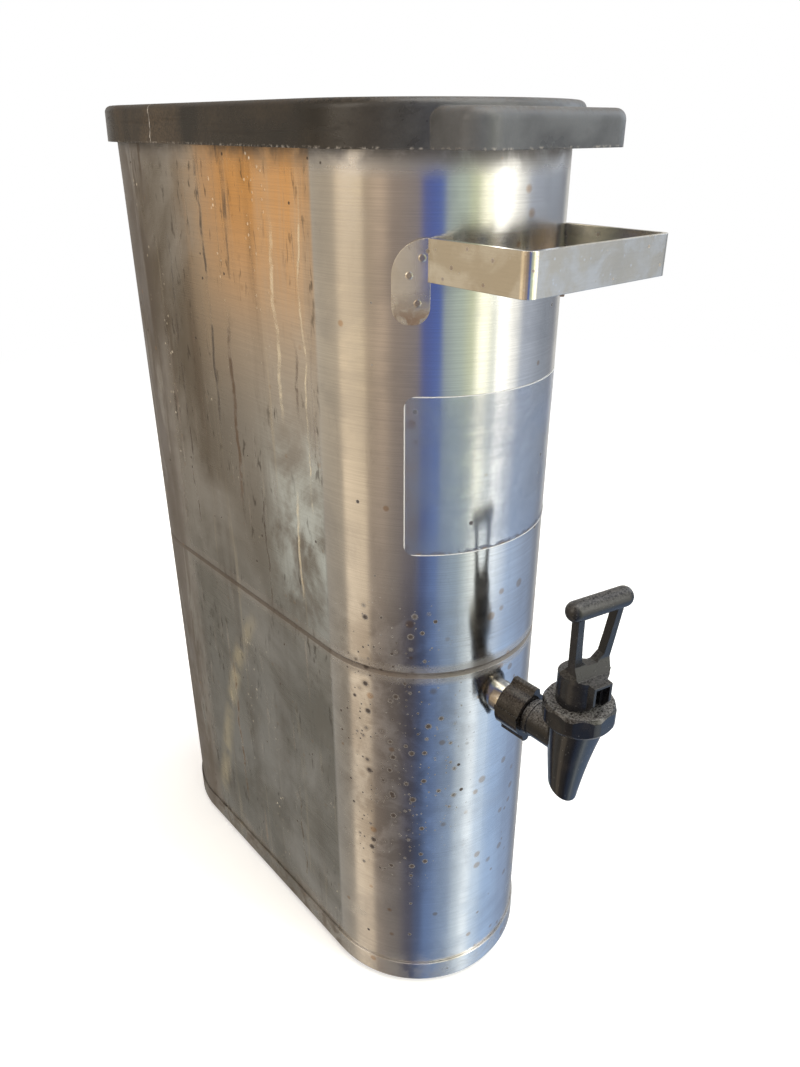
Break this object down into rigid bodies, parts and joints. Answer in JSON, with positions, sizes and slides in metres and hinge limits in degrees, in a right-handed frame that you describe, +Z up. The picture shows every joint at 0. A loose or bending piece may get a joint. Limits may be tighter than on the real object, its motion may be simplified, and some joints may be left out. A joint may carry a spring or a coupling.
{
  "type": "beverage dispenser urn",
  "caption": "Tall narrow oval steel drinks urn with a black lift-off lid, a strap handle in front and a lever tap near the base.",
  "frame": {"origin": "on the floor under the middle of the whole urn's box; the middle of the oval tank is 34.15 mm behind it", "axes": "+Z up; the tap, strap handle and lid lip face -Y; +X across the narrow body"},
  "size_m": [0.153, 0.4052, 0.548],
  "materials": {
    "stainless": "fine brushed, stained by use",
    "tube_steel": "drawn and polished",
    "turned_steel": "turned",
    "spring_steel": "drawn wire",
    "lid_plastic": "moulded, lightly worn",
    "tap_plastic": "moulded, polished by handling",
    "handle_plastic": "moulded, worn and dusty",
    "slip_plastic": "natural",
    "foot_rubber": "moulded",
    "seal_rubber": "moulded silicone",
    "clear_film": "clear film, grimy at its edge"
  },
  "bodies": {
    "tank": {"body_shell": "stainless", "base_band": "stainless", "floor_pan": "stainless", "front_handle": "stainless", "label_film": "clear_film", "foot_front_left": "foot_rubber", "foot_front_right": "foot_rubber", "foot_rear_left": "foot_rubber", "foot_rear_right": "foot_rubber", "outlet_tube": "tube_steel", "tube_thread": "tube_steel", "seal_washer": "seal_rubber", "retaining_ring": "spring_steel", "tap_body": "tap_plastic", "bonnet_seal": "seal_rubber"},
    "lid": {"lid": "lid_plastic"},
    "nut": {"wing_nut": "tap_plastic"},
    "cap_nut": {"bonnet": "tap_plastic"},
    "swivel": {"thrust_washer": "slip_plastic", "tap_spring": "spring_steel"},
    "stem": {"stem": "turned_steel", "seat_cup": "seal_rubber", "handle_pin": "turned_steel"},
    "handle": {"tap_handle": "handle_plastic"}
  },
  "joints": [
    {"name": "lid_lift", "type": "slide", "parent": "tank", "child": "lid", "axis": [0, 0, 1], "range_m": [0, 0.06]},
    {"name": "wing_nut_turn", "type": "hinge", "parent": "tank", "child": "nut", "pos_m": [0, -0.14385, 0.2343], "axis": [0, -1, 0], "continuous": true},
    {"name": "bonnet_turn", "type": "hinge", "parent": "tank", "child": "cap_nut", "pos_m": [0, -0.18385, 0.2575], "axis": [0, 0, 1], "continuous": true},
    {"name": "handle_swivel", "type": "hinge", "parent": "tank", "child": "swivel", "pos_m": [0, -0.18385, 0.26], "axis": [0, 0, 1], "continuous": true},
    {"name": "stem_lift", "type": "slide", "parent": "swivel", "child": "stem", "axis": [0, 0, 1], "range_m": [0, 0.0052], "deforming": ["tap_spring"]},
    {"name": "handle_tilt", "type": "hinge", "parent": "stem", "child": "handle", "pos_m": [0, -0.18385, 0.27175], "axis": [0.9781, -0.2079, 0], "range_deg": [0, 45], "stiffness_Nm_per_rad": 0.006, "springref_deg": -22.92}
  ],
  "couplings": [
    {"joint": "stem_lift", "follows": "handle_tilt", "m_per_rad": 0.0065}
  ]
}
